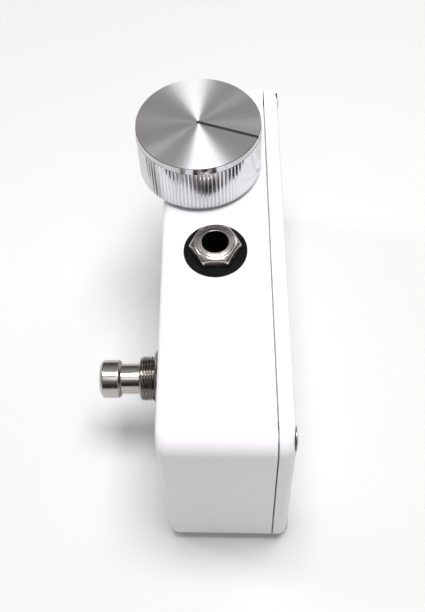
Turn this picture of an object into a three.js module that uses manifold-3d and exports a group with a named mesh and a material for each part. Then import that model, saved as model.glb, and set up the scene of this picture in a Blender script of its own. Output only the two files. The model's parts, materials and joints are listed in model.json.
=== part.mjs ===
// Foot controller: a two-piece die-cast box lying on one long side. A large fluted knob and a
// quarter-inch jack stand on the side that faces up, and a momentary footswitch comes out of the
// closed face. Millimetres. Origin: middle of the side the box rests on. +X points to the lid,
// +Y along the box and +Z along the axes of the knob and the jack.
import * as THREE from 'three';
import { mergeVertices } from 'three/addons/utils/BufferGeometryUtils.js';
import Module from 'manifold-3d';

const wasm = await Module();
wasm.setup();

// ---------------------------------------------------------------- driving dimensions
const WELD = 1e-4; // distance under which shared vertices are one
const CONTACT = 0.05; // gap left where two flat faces press on each other
const ROUND = 24; // sides of a turned part
const SMALL_ROUND = 16; // sides of a small turned part
const ARC_SEGMENTS = 3; // half the segments of each arc in an extruded outline

const CASE_LENGTH = 112.4;
const CASE_WIDTH = 60.5;
const CASE_DEPTH = 31;
const BODY_DEPTH = 27;
const SEAM_GAP = 0.3;
const SIDE_WALL = 2.2;
const FACE_WALL = 1.8;
const CORNER_RADIUS = 6;
const FACE_EDGE_RADIUS = 2.5;
const LID_EDGE_RADIUS = 2.5;
const LID_PLATE = 2;
const CLOSED_FACE = -CASE_DEPTH / 2;
const LID_FACE = CASE_DEPTH / 2;
const SEAM = CLOSED_FACE + BODY_DEPTH; // middle of the gap between the body and the lid
const END_DRAFT = THREE.MathUtils.degToRad(1.5); // of the body's two ends

const TONGUE_WIDTH = 1.2;
const TONGUE_REACH = 1.2;
const TONGUE_CLEARANCE = 0.3;

const SCREW_INSET = 4.5;
const BOSS_RADIUS = 3.2;
const SCREW_RADIUS = 1.45;
const SCREW_HEAD_RADIUS = 3.1;
const SCREW_HEAD_HEIGHT = 1.7;
const SCREW_DOME = 0.5; // the raised countersunk head stands this proud of its edge
const SCREW_LENGTH = 13;
const TAPPED_DEPTH = 14;

const KNOB_X = -5.85;
const KNOB_Y = 24.55;
const KNOB_RADIUS = 15.9;
const KNOB_TOP = 15.9;
const KNOB_BASE = 1;
const KNOB_RIM = 15.75; // radius of the plain band above the flutes
const KNOB_BAND = 2;
const KNOB_CHAMFER = 0.12;
const FLUTE_COUNT = 100;
const FLUTE_DEPTH = 0.4;
const KNOB_RECESS_RADIUS = 8;
const KNOB_RECESS_TOP = 7;
const POINTER_ANGLE = THREE.MathUtils.degToRad(-20.5); // from +X, against the rotation about +Z
const POINTER_WIDTH = 0.8;
const POINTER_DEPTH = 0.3;
const SET_SCREW_HEIGHT = 10.5;
const SET_SCREW_RADIUS = 1.75;

const SHAFT_RADIUS = 3;
const SHAFT_TOP = 12.7;
const POT_BUSHING_RADIUS = 3.5;
const POT_BUSHING_LENGTH = 7;
const POT_RADIUS = 7.6;
const POT_DEPTH = 9.3;
const POT_PLATE = 1.2;
const POT_TERMINAL_PITCH = 5;

const JACK_X = -2;
const JACK_Y = -3.7;
const JACK_THREAD_RADIUS = 4.5;
const JACK_RIM = 4;
const JACK_FLANGE_RADIUS = 7.6;
const JACK_BORE_RADIUS = 3.25;
const JACK_HALF_WIDTH = 8;
const JACK_DEPTH = 28;
const JACK_CAVITY_HALF = 5.3;
const JACK_WASHER_RADIUS = 7.85;
const JACK_NUT_FLATS = 11;

const SWITCH_Y = -22.5;
const SWITCH_THREAD_RADIUS = 5.85;
const SWITCH_BUSHING_TOP = 7;
const SWITCH_NUT_FLATS = 14;
const SWITCH_STACK = 3; // washer and nut together
const CAP_RADIUS = 5;
const CAP_BOTTOM = 11.95;
const CAP_TOP = 17.4;
const NECK_RADIUS = 3.95;
const SWITCH_TRAVEL = 2.5;
const SWITCH_DEPTH = 22.5;

const WIRE_RADIUS = 0.7;

// ---------------------------------------------------------------- materials
const finish = (color, roughness, metalness) => ({ color, roughness, metalness });
const POWDER_COAT = finish(0xf4f3f2, 0.45, 0);
const NICKEL = finish(0xc9c6c0, 0.25, 1);
const ALUMINIUM = finish(0xd9d8d6, 0.3, 1);
const BRASS = finish(0xc8a050, 0.35, 1);
const BLACK_PLASTIC = finish(0x141414, 0.5, 0);
const BLACK_PAINT = finish(0x0c0c0c, 0.4, 0);
const PHENOLIC = finish(0x6e3f22, 0.6, 0);
const DARK_STEEL = finish(0x303236, 0.4, 1);

// ---------------------------------------------------------------- solids
function withoutDegenerate(index) {
  const kept = [];
  for (let i = 0; i < index.length; i += 3) {
    const [a, b, c] = [index[i], index[i + 1], index[i + 2]];
    if (a !== b && b !== c && c !== a) {
      kept.push(a, b, c);
    }
  }
  return Uint32Array.from(kept);
}

function solid(geometry) {
  const bare = geometry.clone();
  bare.deleteAttribute('normal');
  bare.deleteAttribute('uv');
  const welded = mergeVertices(bare, WELD);
  const vertProperties = Float32Array.from(welded.attributes.position.array);
  const triVerts = withoutDegenerate(welded.index.array);
  return new wasm.Manifold(new wasm.Mesh({ numProp: 3, vertProperties, triVerts }));
}

function geometryOf(manifold) {
  const { vertProperties, triVerts } = manifold.getMesh();
  const geometry = new THREE.BufferGeometry();
  geometry.setAttribute('position', new THREE.BufferAttribute(vertProperties, 3));
  geometry.setIndex(new THREE.BufferAttribute(triVerts, 1));
  return geometry;
}

const join = (...pieces) => geometryOf(pieces.map(solid).reduce((all, piece) => all.add(piece)));
const cut = (base, ...tools) =>
  geometryOf(tools.map(solid).reduce((rest, tool) => rest.subtract(tool), solid(base)));
const overlapOf = (a, b) => geometryOf(solid(a).intersect(solid(b)));

// ---------------------------------------------------------------- basic shapes
function block(x, y, z) {
  const geometry = new THREE.BoxGeometry(x[1] - x[0], y[1] - y[0], z[1] - z[0]);
  return geometry.translate((x[0] + x[1]) / 2, (y[0] + y[1]) / 2, (z[0] + z[1]) / 2);
}

function turned(profile, sides = ROUND) {
  const points = profile.map(([radius, height]) => new THREE.Vector2(radius, height));
  return new THREE.LatheGeometry(points, sides).rotateX(Math.PI / 2);
}

const rod = (radius, from, to, sides = ROUND) =>
  turned([[0, from], [radius, from], [radius, to], [0, to]], sides);

const ring = (inner, outer, from, to, sides = ROUND) =>
  turned([[inner, from], [outer, from], [outer, to], [inner, to], [inner, from]], sides);

function prism(shape, from, to) {
  const options = { depth: to - from, bevelEnabled: false, curveSegments: ARC_SEGMENTS };
  return new THREE.ExtrudeGeometry(shape, options).translate(0, 0, from);
}

function roundedRectangle(halfWidth, halfHeight, radius) {
  const shape = new THREE.Shape();
  shape.absarc(halfWidth - radius, halfHeight - radius, radius, 0, Math.PI / 2);
  shape.absarc(radius - halfWidth, halfHeight - radius, radius, Math.PI / 2, Math.PI);
  shape.absarc(radius - halfWidth, radius - halfHeight, radius, Math.PI, 1.5 * Math.PI);
  shape.absarc(halfWidth - radius, radius - halfHeight, radius, 1.5 * Math.PI, 2 * Math.PI);
  shape.closePath();
  return shape;
}

// A flat strip that follows a side view of [across, height] points, standing on its own width.
function strip(path, thickness, width) {
  const points = path.map(([across, height]) => new THREE.Vector2(across, height));
  const sides = [[], []];
  points.forEach((point, i) => {
    const before = points[Math.max(i - 1, 0)];
    const after = points[Math.min(i + 1, points.length - 1)];
    const along = after.clone().sub(before).normalize();
    const normal = new THREE.Vector2(-along.y, along.x).multiplyScalar(thickness / 2);
    sides[0].push(point.clone().add(normal));
    sides[1].unshift(point.clone().sub(normal));
  });
  const shape = new THREE.Shape([...sides[0], ...sides[1]]);
  const geometry = prism(shape, -width / 2, width / 2);
  return geometry.rotateX(Math.PI / 2);
}

function hexagon(flats) {
  const shape = new THREE.Shape();
  const corner = flats / Math.sqrt(3);
  for (let i = 0; i < 6; i += 1) {
    const angle = (i * Math.PI) / 3;
    shape[i ? 'lineTo' : 'moveTo'](corner * Math.cos(angle), corner * Math.sin(angle));
  }
  shape.closePath();
  return shape;
}

// A hexagon nut with its corners turned off at 30 degrees on both faces.
function hexNut(flats, bore, from, to) {
  const inner = flats / 2;
  const reach = inner * 1.2;
  const drop = (reach - inner) * Math.tan(Math.PI / 6);
  const envelope = turned([
    [0, from], [inner, from], [reach, from + drop], [reach, to - drop], [inner, to], [0, to],
  ]);
  return cut(overlapOf(prism(hexagon(flats), from, to), envelope), rod(bore, from - 1, to + 1));
}

function tube(points, radius) {
  const path = new THREE.CatmullRomCurve3(points.map((p) => new THREE.Vector3(...p)), false, 'centripetal');
  const section = new THREE.Shape();
  section.absarc(0, 0, radius, 0, 2 * Math.PI);
  const steps = Math.round(path.getLength() / (5 * radius));
  return new THREE.ExtrudeGeometry(section, { steps, curveSegments: 4, extrudePath: path });
}

// ---------------------------------------------------------------- scene graph
const assembly = new THREE.Group();

function groupAt(x, y, z) {
  const group = new THREE.Group();
  group.position.set(x, y, z);
  assembly.add(group);
  return group;
}

function addPart(group, name, geometry, look) {
  const mesh = new THREE.Mesh(geometryOf(solid(geometry)), new THREE.MeshStandardMaterial(look));
  mesh.name = name;
  group.add(mesh);
}

// ---------------------------------------------------------------- enclosure
// Its frame lies along the box's depth: x is the length, y the width and z runs from the closed
// face to the lid, with the middle of the box's outline at the origin.
const HALF_LENGTH = CASE_LENGTH / 2;
const HALF_WIDTH = CASE_WIDTH / 2;
const INNER_FACE = CLOSED_FACE + FACE_WALL;
const BODY_RIM = SEAM - SEAM_GAP / 2;
const LID_RIM = SEAM + SEAM_GAP / 2;
const PAST = 1; // how far a cutting tool reaches past what it cuts

const caseGroup = groupAt(0, 0, HALF_WIDTH);
const caseAxes = new THREE.Matrix4().makeBasis(
  new THREE.Vector3(0, 1, 0),
  new THREE.Vector3(0, 0, 1),
  new THREE.Vector3(1, 0, 0),
);
caseGroup.quaternion.setFromRotationMatrix(caseAxes);

const screwPlaces = [[-1, -1], [1, -1], [1, 1], [-1, 1]].map(([along, across]) => [
  along * (HALF_LENGTH - SCREW_INSET),
  across * (HALF_WIDTH - SCREW_INSET),
]);

const atScrews = (geometry) => screwPlaces.map(([x, y]) => geometry.clone().translate(x, y, 0));

// A slab of the box's full outline whose edge is rounded at both ends of [from, to].
function roundedSlab(from, to, edge) {
  const outline = roundedRectangle(HALF_LENGTH, HALF_WIDTH, CORNER_RADIUS);
  const options = {
    depth: to - from - 2 * edge,
    bevelThickness: edge,
    bevelSize: edge,
    bevelOffset: -edge,
    bevelSegments: 3,
    curveSegments: ARC_SEGMENTS,
  };
  return new THREE.ExtrudeGeometry(outline, options).translate(0, 0, from + edge);
}

const everything = (from, to) => block([-CASE_LENGTH, CASE_LENGTH], [-CASE_WIDTH, CASE_WIDTH], [from, to]);

const insetOutline = (inset) =>
  roundedRectangle(HALF_LENGTH - inset, HALF_WIDTH - inset, Math.max(CORNER_RADIUS - inset, 1.5));

// Draws the two ends together towards the closed face, as a casting's draft does.
function drafted(geometry) {
  const place = geometry.attributes.position;
  for (let i = 0; i < place.count; i += 1) {
    const drawn = (BODY_RIM - place.getZ(i)) * Math.tan(END_DRAFT);
    place.setX(i, place.getX(i) * (1 - drawn / HALF_LENGTH));
  }
  return geometry;
}

function enclosureBody() {
  const slab = roundedSlab(CLOSED_FACE, LID_FACE, FACE_EDGE_RADIUS);
  const outer = drafted(cut(slab, everything(BODY_RIM, 2 * LID_FACE)));
  const hollow = drafted(prism(insetOutline(SIDE_WALL), INNER_FACE, LID_FACE));
  const bosses = atScrews(rod(BOSS_RADIUS, INNER_FACE - 0.3, BODY_RIM, SMALL_ROUND));
  const tapped = atScrews(rod(SCREW_RADIUS + 0.25, BODY_RIM - TAPPED_DEPTH, LID_FACE, SMALL_ROUND));
  const upward = (radius, x, z) =>
    rod(radius, 0, CASE_WIDTH).rotateX(-Math.PI / 2).translate(x, 0, z);
  const knobHole = upward(POT_BUSHING_RADIUS + 0.25, KNOB_Y, KNOB_X);
  const jackHole = upward(JACK_THREAD_RADIUS + 0.25, JACK_Y, JACK_X);
  const switchHole = rod(SWITCH_THREAD_RADIUS + 0.3, CLOSED_FACE - PAST, 0).translate(SWITCH_Y, 0, 0);
  return cut(join(cut(outer, hollow), ...bosses), ...tapped, knobHole, jackHole, switchHole);
}

function enclosureLid() {
  const slab = roundedSlab(CLOSED_FACE, LID_FACE, LID_EDGE_RADIUS);
  const outer = cut(slab, everything(CLOSED_FACE - PAST, LID_RIM));
  const tongueOutline = insetOutline(SIDE_WALL + TONGUE_CLEARANCE);
  const pocketInset = SIDE_WALL + TONGUE_CLEARANCE + TONGUE_WIDTH;
  const pocket = prism(insetOutline(pocketInset), -PAST, LID_FACE - LID_PLATE);
  const rim = prism(tongueOutline, BODY_RIM - TONGUE_REACH, LID_RIM + PAST);
  const clearOfBosses = atScrews(rod(BOSS_RADIUS + TONGUE_CLEARANCE, 0, LID_RIM + PAST / 2, SMALL_ROUND));
  const tongue = cut(rim, pocket, ...clearOfBosses);
  const pads = atScrews(rod(BOSS_RADIUS + 0.4, LID_RIM, LID_FACE - LID_PLATE + 0.3, SMALL_ROUND));
  const through = atScrews(rod(SCREW_RADIUS + 0.35, 0, LID_FACE + PAST, SMALL_ROUND));
  const low = LID_FACE - SCREW_HEAD_HEIGHT - 0.3;
  const high = LID_FACE + 0.01;
  const countersink = turned(
    [[0, low], [SCREW_RADIUS + 0.3, low], [SCREW_HEAD_RADIUS + 0.25, high], [0, high]],
    SMALL_ROUND,
  );
  return cut(join(cut(outer, pocket), tongue, ...pads), ...through, ...atScrews(countersink));
}

function lidScrew() {
  const edge = LID_FACE - 0.05;
  const top = edge + SCREW_DOME;
  const neck = edge - SCREW_HEAD_HEIGHT;
  const end = edge - SCREW_LENGTH;
  const profile = [
    [0, end], [SCREW_RADIUS - 0.4, end], [SCREW_RADIUS, end + 0.4], [SCREW_RADIUS, neck],
    [SCREW_HEAD_RADIUS, edge - 0.15], [SCREW_HEAD_RADIUS, edge],
    [0.6 * SCREW_HEAD_RADIUS, edge + 0.75 * SCREW_DOME], [0, top],
  ];
  const slotHalf = [0.38, 1.7];
  const slotDepth = 1.2;
  const slot = ([a, b]) => block([-a, a], [-b, b], [top - slotDepth, top + PAST]);
  return cut(turned(profile, SMALL_ROUND), slot(slotHalf), slot([...slotHalf].reverse()));
}

addPart(caseGroup, 'enclosure_body', enclosureBody(), POWDER_COAT);
addPart(caseGroup, 'enclosure_lid', enclosureLid(), POWDER_COAT);
screwPlaces.forEach(([x, y], i) => {
  addPart(caseGroup, `lid_screw_${i + 1}`, lidScrew().translate(x, y, 0), NICKEL);
});

// ---------------------------------------------------------------- knob and potentiometer
// Height 0 is the outside of the wall that they stand on.
const potGroup = groupAt(KNOB_X, KNOB_Y, CASE_WIDTH);
const POT_SEAT = -SIDE_WALL - CONTACT;

const alongPointer = (geometry) => geometry.rotateZ(POINTER_ANGLE);

function flutedOutline() {
  const shape = new THREE.Shape();
  const valley = KNOB_RADIUS - FLUTE_DEPTH;
  for (let i = 0; i < 2 * FLUTE_COUNT; i += 1) {
    const angle = (i * Math.PI) / FLUTE_COUNT;
    const radius = i % 2 ? valley : KNOB_RADIUS;
    shape[i ? 'lineTo' : 'moveTo'](radius * Math.cos(angle), radius * Math.sin(angle));
  }
  shape.closePath();
  return shape;
}

const setScrewBore = (radius, from, to, sides) =>
  alongPointer(rod(radius, from, to, sides).rotateY(-Math.PI / 2).translate(0, 0, SET_SCREW_HEIGHT));

function knobBody() {
  const shoulder = KNOB_TOP - KNOB_BAND;
  const skirt = prism(flutedOutline(), KNOB_BASE, shoulder);
  const core = KNOB_RADIUS - FLUTE_DEPTH - CONTACT;
  const top = turned([
    [0, shoulder - PAST], [core, shoulder - PAST], [core, shoulder], [KNOB_RIM, shoulder],
    [KNOB_RIM, KNOB_TOP - KNOB_CHAMFER], [KNOB_RIM - KNOB_CHAMFER, KNOB_TOP], [0, KNOB_TOP],
  ], 2 * ROUND);
  const recess = rod(KNOB_RECESS_RADIUS, 0, KNOB_RECESS_TOP);
  const bore = rod(SHAFT_RADIUS + 0.1, 0, SHAFT_TOP + 0.3);
  const half = POINTER_WIDTH / 2 + CONTACT;
  const grooveFloor = KNOB_TOP - POINTER_DEPTH - CONTACT;
  const groove = block([-CONTACT, KNOB_RADIUS], [-half, half], [grooveFloor, KNOB_TOP + PAST]);
  const screwHole = setScrewBore(SET_SCREW_RADIUS + 0.15, 0, 2 * KNOB_RADIUS, SMALL_ROUND);
  return cut(join(skirt, top), recess, bore, alongPointer(groove), screwHole);
}

function knobPointer() {
  const half = POINTER_WIDTH / 2;
  const reach = KNOB_RIM - KNOB_CHAMFER - CONTACT;
  return alongPointer(block([0, reach], [-half, half], [KNOB_TOP - POINTER_DEPTH, KNOB_TOP]));
}

function knobSetScrew() {
  const inner = SHAFT_RADIUS + 0.15;
  const outer = 11;
  const socket = prism(hexagon(1.5), outer - 2, outer + PAST);
  const hole = socket.rotateY(-Math.PI / 2).translate(0, 0, SET_SCREW_HEIGHT);
  return cut(setScrewBore(SET_SCREW_RADIUS, inner, outer, SMALL_ROUND), alongPointer(hole));
}

function potShaft() {
  const bottom = POT_SEAT - POT_PLATE - 4.2;
  const groove = [POT_SEAT - POT_PLATE - 1.05, POT_SEAT - POT_PLATE - 0.35];
  const grooveRadius = SHAFT_RADIUS - 0.6;
  return turned([
    [0, bottom], [SHAFT_RADIUS, bottom], [SHAFT_RADIUS, groove[0]], [grooveRadius, groove[0]],
    [grooveRadius, groove[1]], [SHAFT_RADIUS, groove[1]], [SHAFT_RADIUS, SHAFT_TOP - 0.4],
    [SHAFT_RADIUS - 0.4, SHAFT_TOP], [0, SHAFT_TOP],
  ]);
}

// The open retaining ring that sits in the shaft's groove under the front plate.
function potShaftClip() {
  const top = POT_SEAT - POT_PLATE - 0.45;
  const whole = ring(SHAFT_RADIUS - 0.5, SHAFT_RADIUS + 1.2, top - 0.5, top);
  return cut(whole, block([0, 6], [-1.6, 1.6], [top - 2, top + 1]));
}

function potFrontPlate() {
  const bottom = POT_SEAT - POT_PLATE;
  return turned([
    [SHAFT_RADIUS + 0.12, bottom], [POT_RADIUS, bottom],
    [POT_RADIUS, POT_SEAT], [POT_BUSHING_RADIUS, POT_SEAT],
    [POT_BUSHING_RADIUS, POT_SEAT + POT_BUSHING_LENGTH],
    [SHAFT_RADIUS + 0.12, POT_SEAT + POT_BUSHING_LENGTH], [SHAFT_RADIUS + 0.12, bottom],
  ]);
}

const WAFER_TOP = POT_SEAT - POT_PLATE - 1.3;
const WAFER_THICKNESS = 1;
const WAFER_RADIUS = 6.9;
const WAFER_TAIL = 9.5; // how far the wafer's tail reaches from the axis
const TAIL_HALF = 6.6;

function potWafer() {
  const bottom = WAFER_TOP - WAFER_THICKNESS;
  const tail = block([-TAIL_HALF, TAIL_HALF], [-WAFER_TAIL, -1], [bottom, WAFER_TOP]);
  const disc = rod(WAFER_RADIUS, bottom, WAFER_TOP);
  return cut(join(disc, tail), rod(SHAFT_RADIUS + 0.3, bottom - PAST, WAFER_TOP + PAST));
}

function potCan() {
  const top = POT_SEAT - POT_PLATE - CONTACT;
  const bottom = POT_SEAT - POT_DEPTH;
  const wall = 0.5;
  const cup = turned([
    [0, bottom], [POT_RADIUS, bottom], [POT_RADIUS, top], [POT_RADIUS - wall, top],
    [POT_RADIUS - wall, bottom + wall], [0, bottom + wall],
  ]);
  const half = TAIL_HALF + 0.2;
  return cut(cup, block([-half, half], [-10, 0], [WAFER_TOP - WAFER_THICKNESS - 0.2, 0]));
}

const ROTOR_TOP = WAFER_TOP - WAFER_THICKNESS - 0.4;

const potRotor = () => ring(SHAFT_RADIUS + 0.1, 5.8, ROTOR_TOP - 1.3, ROTOR_TOP);

function potWiper() {
  const arms = ring(4.1, 5.4, ROTOR_TOP + CONTACT, ROTOR_TOP + 0.3);
  return cut(arms, block([-7, 2.5], [-7, 7], [ROTOR_TOP - 1, ROTOR_TOP + 1]));
}

function potTerminal() {
  const top = WAFER_TOP + 0.45;
  const tab = block([-1, 1], [-14, -WAFER_TAIL + 2], [top - 0.4, top]);
  return cut(tab, rod(0.6, top - 1, top + 1, 8).translate(0, -12.8, 0));
}

const potNut = () => hexNut(10, POT_BUSHING_RADIUS + 0.1, 0.6, 2.6);
const potWasher = () => ring(POT_BUSHING_RADIUS + 0.15, 5.6, CONTACT, 0.55);

addPart(potGroup, 'knob', knobBody(), ALUMINIUM);
addPart(potGroup, 'knob_pointer', knobPointer(), BLACK_PAINT);
addPart(potGroup, 'knob_set_screw', knobSetScrew(), DARK_STEEL);
addPart(potGroup, 'pot_shaft', potShaft(), NICKEL);
addPart(potGroup, 'pot_shaft_clip', potShaftClip(), DARK_STEEL);
addPart(potGroup, 'pot_front_plate', potFrontPlate(), NICKEL);
addPart(potGroup, 'pot_wafer', potWafer(), PHENOLIC);
addPart(potGroup, 'pot_can', potCan(), NICKEL);
addPart(potGroup, 'pot_rotor', potRotor(), BLACK_PLASTIC);
addPart(potGroup, 'pot_wiper', potWiper(), BRASS);
addPart(potGroup, 'pot_nut', potNut(), NICKEL);
addPart(potGroup, 'pot_washer', potWasher(), NICKEL);
[-1, 0, 1].forEach((place, i) => {
  const terminal = potTerminal().translate(place * POT_TERMINAL_PITCH, 0, 0);
  addPart(potGroup, `pot_terminal_${i + 1}`, terminal, NICKEL);
});

// ---------------------------------------------------------------- jack
// Height 0 is the outside of the wall; the plug goes in from above.
const jackGroup = groupAt(JACK_X, JACK_Y, CASE_WIDTH);
const JACK_FLANGE_BOTTOM = -SIDE_WALL - CONTACT - 1.1;
const CONTACT_STRIP = 0.3;
const STRIP_RUN = 4.7; // distance of a contact's straight run from the plug's axis
const STRIP_NEAR = 2.45; // and of its bend, where the plug meets it
const LUG_END = -JACK_DEPTH - 4;

function jackBushing() {
  const edge = 0.5;
  const seat = -SIDE_WALL - CONTACT;
  return turned([
    [JACK_BORE_RADIUS, JACK_FLANGE_BOTTOM], [JACK_FLANGE_RADIUS, JACK_FLANGE_BOTTOM],
    [JACK_FLANGE_RADIUS, seat], [JACK_THREAD_RADIUS, seat],
    [JACK_THREAD_RADIUS, JACK_RIM - edge], [JACK_THREAD_RADIUS - edge, JACK_RIM],
    [JACK_BORE_RADIUS + edge / 2, JACK_RIM], [JACK_BORE_RADIUS, JACK_RIM - edge],
    [JACK_BORE_RADIUS, JACK_FLANGE_BOTTOM],
  ]);
}

function jackHousing() {
  const top = JACK_FLANGE_BOTTOM - CONTACT;
  const side = [-JACK_HALF_WIDTH, JACK_HALF_WIDTH];
  const hollow = [-JACK_CAVITY_HALF, JACK_CAVITY_HALF];
  const floor = -JACK_DEPTH + 1;
  const ledge = top - 1;
  const shell = block(side, side, [-JACK_DEPTH, top]);
  const mouth = rod(JACK_BORE_RADIUS + 0.15, ledge - 0.5, PAST);
  const lugSlots = jackContacts.map(({ turn }) => {
    const across = [STRIP_RUN - 0.35, STRIP_RUN + 0.35];
    const slot = block(across, [-1.7, 1.7], [-JACK_DEPTH - PAST, floor + PAST]);
    return slot.rotateZ(turn);
  });
  return cut(shell, block(hollow, hollow, [floor, ledge]), mouth, ...lugSlots);
}

const jackContacts = [
  { name: 'jack_tip_contact', turn: -Math.PI / 2, bend: -23.5 },
  { name: 'jack_ring_contact', turn: Math.PI / 2, bend: -15.5 },
  { name: 'jack_sleeve_contact', turn: 0, bend: -6.6 },
];

// A spring strip: a solder lug below, a straight run up the wall and a bend towards the plug.
function jackContact({ turn, bend }) {
  const profile = [
    [STRIP_RUN, LUG_END], [STRIP_RUN, bend - 3.5], [STRIP_NEAR + 0.3, bend - 0.6],
    [STRIP_NEAR, bend], [STRIP_NEAR + 0.3, bend + 0.6], [STRIP_NEAR + 1.1, bend + 1.4],
  ];
  const lugHole = rod(0.6, 0, 2 * STRIP_RUN, 8).rotateY(Math.PI / 2).translate(0, 0, LUG_END + 1.3);
  return cut(strip(profile, CONTACT_STRIP, 2.8), lugHole).rotateZ(turn);
}

const jackWasher = () => ring(JACK_THREAD_RADIUS + 0.15, JACK_WASHER_RADIUS, CONTACT, 0.8, 2 * ROUND);
const jackNut = () => hexNut(JACK_NUT_FLATS, JACK_THREAD_RADIUS + 0.1, 0.85, 3.8);

addPart(jackGroup, 'jack_bushing', jackBushing(), NICKEL);
addPart(jackGroup, 'jack_housing', jackHousing(), BLACK_PLASTIC);
addPart(jackGroup, 'jack_washer', jackWasher(), BLACK_PLASTIC);
addPart(jackGroup, 'jack_nut', jackNut(), NICKEL);
jackContacts.forEach((contact) => {
  addPart(jackGroup, contact.name, jackContact(contact), NICKEL);
});

// ---------------------------------------------------------------- footswitch
// Height 0 is the outside of the closed face and height grows away from the box.
const switchGroup = groupAt(CLOSED_FACE, SWITCH_Y, HALF_WIDTH);
switchGroup.rotation.y = -Math.PI / 2;
const FRAME_TOP = -4.5;
const FRAME_PLATE = 0.8;
const FRAME_HALF = [8.6, 7.8];
const BUSHING_BOTTOM = FRAME_TOP - FRAME_PLATE - 0.6;
const BRIDGE_TOP = -12.55;
const BRIDGE_THICKNESS = 0.45;
const FIXED_CONTACT_TOP = BRIDGE_TOP - BRIDGE_THICKNESS - SWITCH_TRAVEL - 0.1;
const SWITCH_FLOOR = -SWITCH_DEPTH + 2;
const LUG_INNER = 5.1;
const LUG_OUTER = 5.6;
const SWITCH_LUG_END = -24.8;

function switchBushing() {
  const edge = 0.5;
  const bore = NECK_RADIUS + 0.15;
  const flangeTop = FRAME_TOP - FRAME_PLATE - CONTACT;
  const flange = SWITCH_THREAD_RADIUS + 0.9;
  return turned([
    [bore, BUSHING_BOTTOM], [flange, BUSHING_BOTTOM],
    [flange, flangeTop], [SWITCH_THREAD_RADIUS, flangeTop],
    [SWITCH_THREAD_RADIUS, SWITCH_BUSHING_TOP - edge], [SWITCH_THREAD_RADIUS - edge, SWITCH_BUSHING_TOP],
    [bore, SWITCH_BUSHING_TOP], [bore, BUSHING_BOTTOM],
  ]);
}

function switchPlunger() {
  const edge = 0.9;
  const foot = BUSHING_BOTTOM - 0.1;
  const stem = 1.5;
  const stemEnd = BRIDGE_TOP + CONTACT;
  return turned([
    [0, stemEnd], [stem, stemEnd], [stem, foot - 1.2], [4.9, foot - 1.2], [4.9, foot], [NECK_RADIUS, foot],
    [NECK_RADIUS, CAP_BOTTOM], [CAP_RADIUS - edge / 2, CAP_BOTTOM], [CAP_RADIUS, CAP_BOTTOM + edge / 2],
    [CAP_RADIUS, CAP_TOP - edge], [CAP_RADIUS - edge, CAP_TOP], [0, CAP_TOP],
  ]);
}

function switchFrame() {
  const [x, y] = FRAME_HALF;
  const bottom = -14;
  const outer = block([-x, x], [-y, y], [bottom, FRAME_TOP]);
  const gap = y - FRAME_PLATE;
  const inside = block([-2 * x, 2 * x], [-gap, gap], [bottom - PAST, FRAME_TOP - FRAME_PLATE]);
  return cut(outer, inside, rod(SWITCH_THREAD_RADIUS + 0.2, bottom, 0));
}

function switchHousing() {
  const [x, y] = [FRAME_HALF[0] - 0.3, FRAME_HALF[1] - FRAME_PLATE - 0.1];
  const top = BUSHING_BOTTOM - CONTACT;
  const outer = block([-x, x], [-y, y], [-SWITCH_DEPTH, top]);
  const hollow = block([1.3 - x, x - 1.3], [0.8 - y, y - 0.8], [SWITCH_FLOOR, top - 2]);
  const mouth = rod(5.1, top - 3, 0);
  const slots = [-1, 1].map((side) => {
    const reach = [side * (LUG_INNER - 0.15), side * (LUG_OUTER + 0.15)].sort((a, b) => a - b);
    return block(reach, [-1.65, 1.65], [-SWITCH_DEPTH - PAST, SWITCH_FLOOR + PAST]);
  });
  return cut(outer, hollow, mouth, ...slots);
}

// A fixed contact pad whose leg goes down through the housing's floor to a solder lug.
function switchTerminal(side) {
  const thickness = LUG_OUTER - LUG_INNER;
  const pad = block([2.8, LUG_OUTER], [-1.4, 1.4], [FIXED_CONTACT_TOP - thickness, FIXED_CONTACT_TOP]);
  const leg = block([LUG_INNER, LUG_OUTER], [-1.4, 1.4], [SWITCH_LUG_END, FIXED_CONTACT_TOP]);
  const lugHole = rod(0.6, 0, 2 * LUG_OUTER, 8).rotateY(Math.PI / 2).translate(0, 0, SWITCH_LUG_END + 1.2);
  const turn = side > 0 ? 0 : Math.PI;
  return cut(join(pad, leg), lugHole).rotateZ(turn);
}

function switchBridge() {
  return block([-LUG_OUTER, LUG_OUTER], [-1.4, 1.4], [BRIDGE_TOP - BRIDGE_THICKNESS, BRIDGE_TOP]);
}

// The return spring under the bridge, wound from round wire.
function switchSpring() {
  const turns = 5;
  const pointsPerTurn = 10;
  const wire = 0.22;
  const coil = 1.7;
  const low = SWITCH_FLOOR + wire + CONTACT;
  const high = BRIDGE_TOP - BRIDGE_THICKNESS - wire - 0.15;
  const points = [];
  for (let i = 0; i <= turns * pointsPerTurn; i += 1) {
    const angle = (2 * Math.PI * i) / pointsPerTurn;
    const height = THREE.MathUtils.lerp(low, high, i / (turns * pointsPerTurn));
    points.push(new THREE.Vector3(coil * Math.cos(angle), coil * Math.sin(angle), height));
  }
  const section = new THREE.Shape();
  section.absarc(0, 0, wire, 0, 2 * Math.PI);
  const extrudePath = new THREE.CatmullRomCurve3(points);
  const steps = turns * pointsPerTurn;
  return new THREE.ExtrudeGeometry(section, { steps, curveSegments: ARC_SEGMENTS, extrudePath });
}

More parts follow.
